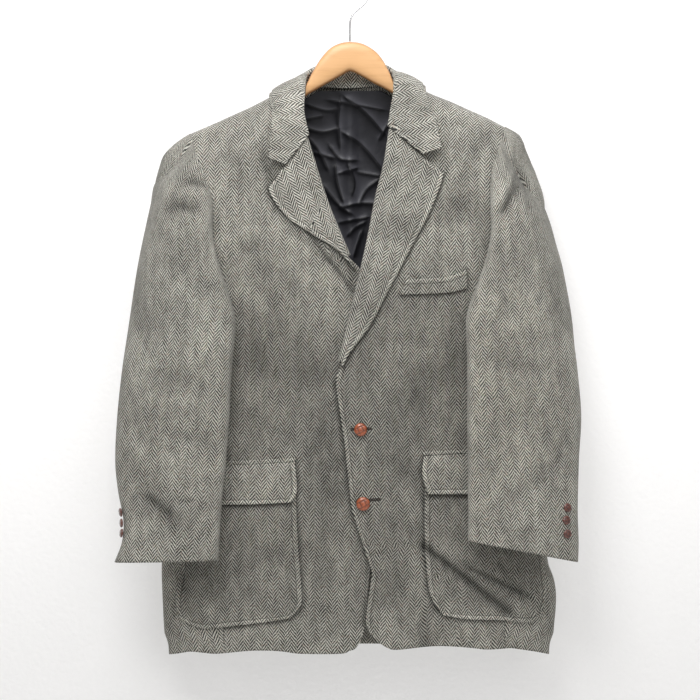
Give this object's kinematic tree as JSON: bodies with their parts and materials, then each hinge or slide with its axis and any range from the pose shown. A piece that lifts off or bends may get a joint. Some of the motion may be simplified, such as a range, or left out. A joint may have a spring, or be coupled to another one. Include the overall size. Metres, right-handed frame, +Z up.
{
  "type": "tweed hacking jacket on a wooden hanger",
  "caption": "Single-breasted herringbone tweed jacket with notched lapels, flapped patch pockets and leather buttons, hung on a contoured wooden hanger.",
  "frame": {"origin": "the inside top of the hanger's hook, where the rail carries it", "axes": "+Z up, the front of the jacket faces -Y, +X is the wearer's left"},
  "size_m": [0.6434, 0.142, 0.9598],
  "materials": {
    "tweed": "herringbone wool tweed",
    "lining satin": "black satin",
    "leather": "tan leather",
    "cuff leather": "red-brown leather",
    "wood": "clear varnish",
    "hook wire": "bright plated steel wire"
  },
  "bodies": {
    "root": {"hanger_body": "wood", "hanger_hook": "hook wire", "front_left": "tweed", "front_right": "tweed", "back_left": "tweed", "back_right": "tweed", "side_left": "tweed", "side_right": "tweed", "lapel_left": "tweed", "lapel_right": "tweed", "collar": "tweed", "top_sleeve_left": "tweed", "top_sleeve_right": "tweed", "under_sleeve_left": "tweed", "under_sleeve_right": "tweed", "pocket_left": "tweed", "pocket_right": "tweed", "flap_left": "tweed", "flap_right": "tweed", "flap_welt_left": "tweed", "flap_welt_right": "tweed", "chest_welt": "tweed", "lining_back": "lining satin", "button_upper": "leather", "button_lower": "leather", "cuff_button_left_1": "cuff leather", "cuff_button_left_2": "cuff leather", "cuff_button_left_3": "cuff leather", "cuff_button_right_1": "cuff leather", "cuff_button_right_2": "cuff leather", "cuff_button_right_3": "cuff leather"}
  },
  "joints": []
}
